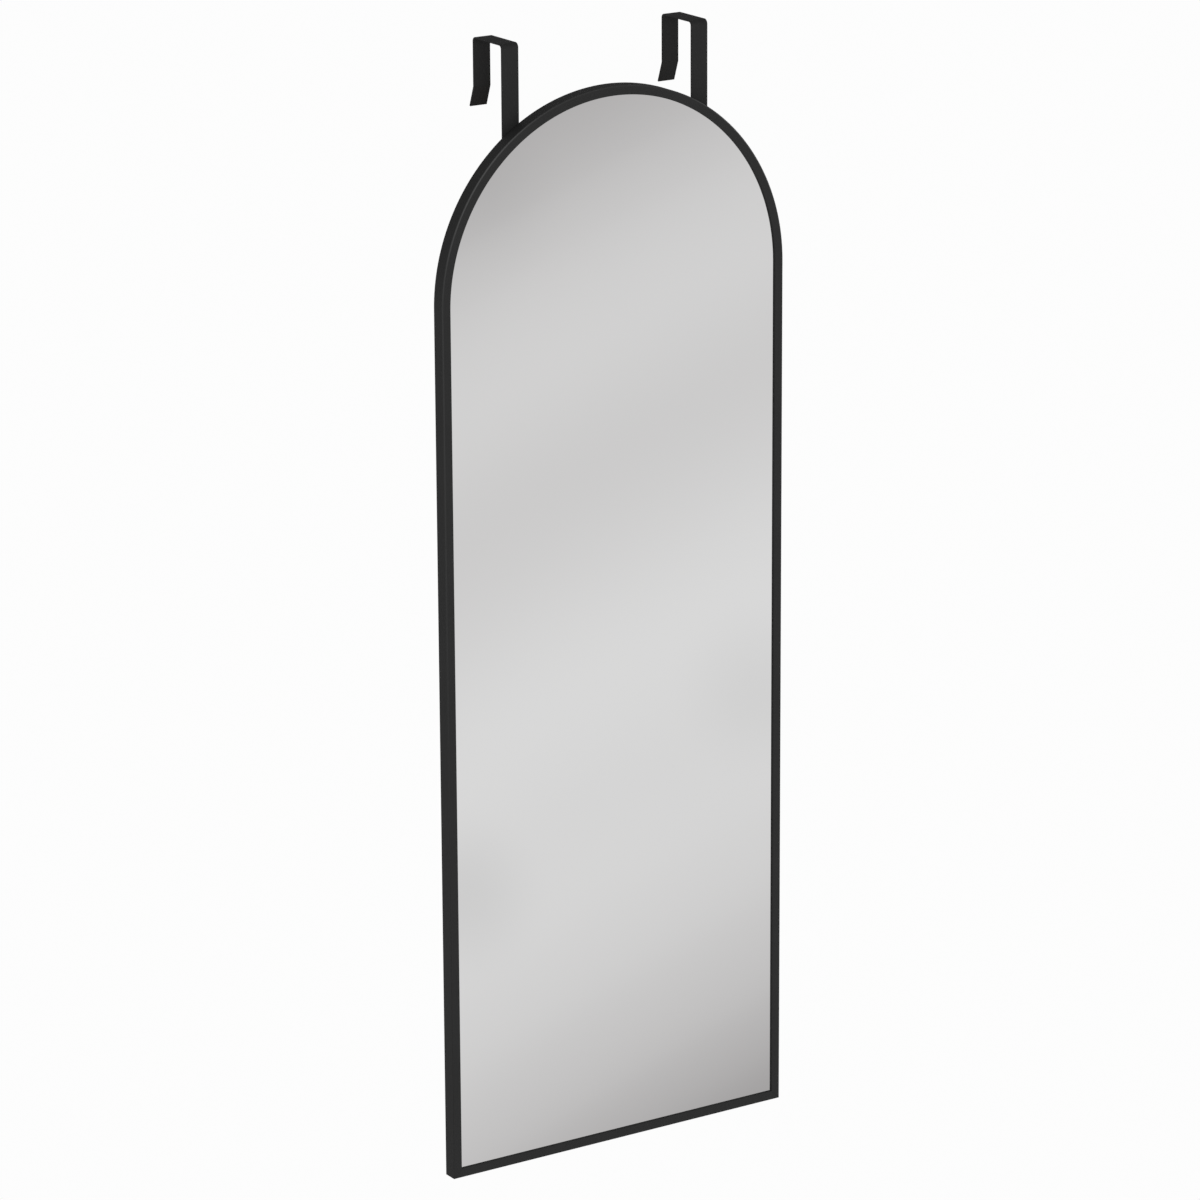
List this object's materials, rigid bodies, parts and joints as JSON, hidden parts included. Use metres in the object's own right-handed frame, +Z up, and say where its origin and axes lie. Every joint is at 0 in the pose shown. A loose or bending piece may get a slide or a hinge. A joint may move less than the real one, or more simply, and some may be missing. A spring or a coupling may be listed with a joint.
{
  "type": "over the door mirror",
  "caption": "Arch-topped full-length mirror in a thin metal channel frame, hung over a door by bent strap hooks that slide up and down behind it.",
  "frame": {"origin": "on the door's top edge, midway between the two hooks, in the plane of the door's front face that the bumpers rest on", "axes": "+Z up; +Y into the door, away from the viewer; +X to the viewer's right"},
  "size_m": [0.4, 0.0765, 1.151],
  "materials": {
    "frame_black": "matt black powder coat on aluminium",
    "hook_black": "matt black powder coat on steel strap",
    "silvered_glass": "polished float glass, silvered behind",
    "film": "smooth film",
    "foam": "closed-cell foam",
    "fibreboard": "plain pressed fibreboard",
    "spring_steel": "bright spring steel",
    "zinc_steel": "zinc plated",
    "black_screw": "black oxide",
    "nut_brass": "turned brass",
    "carrier_plastic": "moulded black nylon, fine texture",
    "block_rubber": "matt rubber",
    "bumper_foam": "matt closed-cell rubber"
  },
  "bodies": {
    "mirror": {"arch_frame": "frame_black", "bottom_rail": "frame_black", "mirror_glass": "silvered_glass", "safety_film": "film", "foam_tape": "foam", "backing_board": "fibreboard", "spring_clips": "spring_steel", "left_setting_block": "block_rubber", "right_setting_block": "block_rubber", "left_corner_key": "zinc_steel", "right_corner_key": "zinc_steel", "left_corner_screws": "black_screw", "right_corner_screws": "black_screw", "left_hook_carrier": "carrier_plastic", "right_hook_carrier": "carrier_plastic", "left_carrier_screws": "zinc_steel", "right_carrier_screws": "zinc_steel", "left_tee_nuts": "nut_brass", "right_tee_nuts": "nut_brass", "left_clamp_washers": "zinc_steel", "right_clamp_washers": "zinc_steel", "left_clamp_screws": "black_screw", "right_clamp_screws": "black_screw", "upper_left_bumper": "bumper_foam", "upper_right_bumper": "bumper_foam", "lower_left_bumper": "bumper_foam", "lower_right_bumper": "bumper_foam"},
    "left_hook": {"left_hook": "hook_black"},
    "right_hook": {"right_hook": "hook_black"}
  },
  "joints": [
    {"name": "left_hook_slide", "type": "slide", "parent": "mirror", "child": "left_hook", "axis": [0, 0, 1], "range_m": [-0.025, 0.025]},
    {"name": "right_hook_slide", "type": "slide", "parent": "mirror", "child": "right_hook", "axis": [0, 0, 1], "range_m": [-0.025, 0.025]}
  ]
}
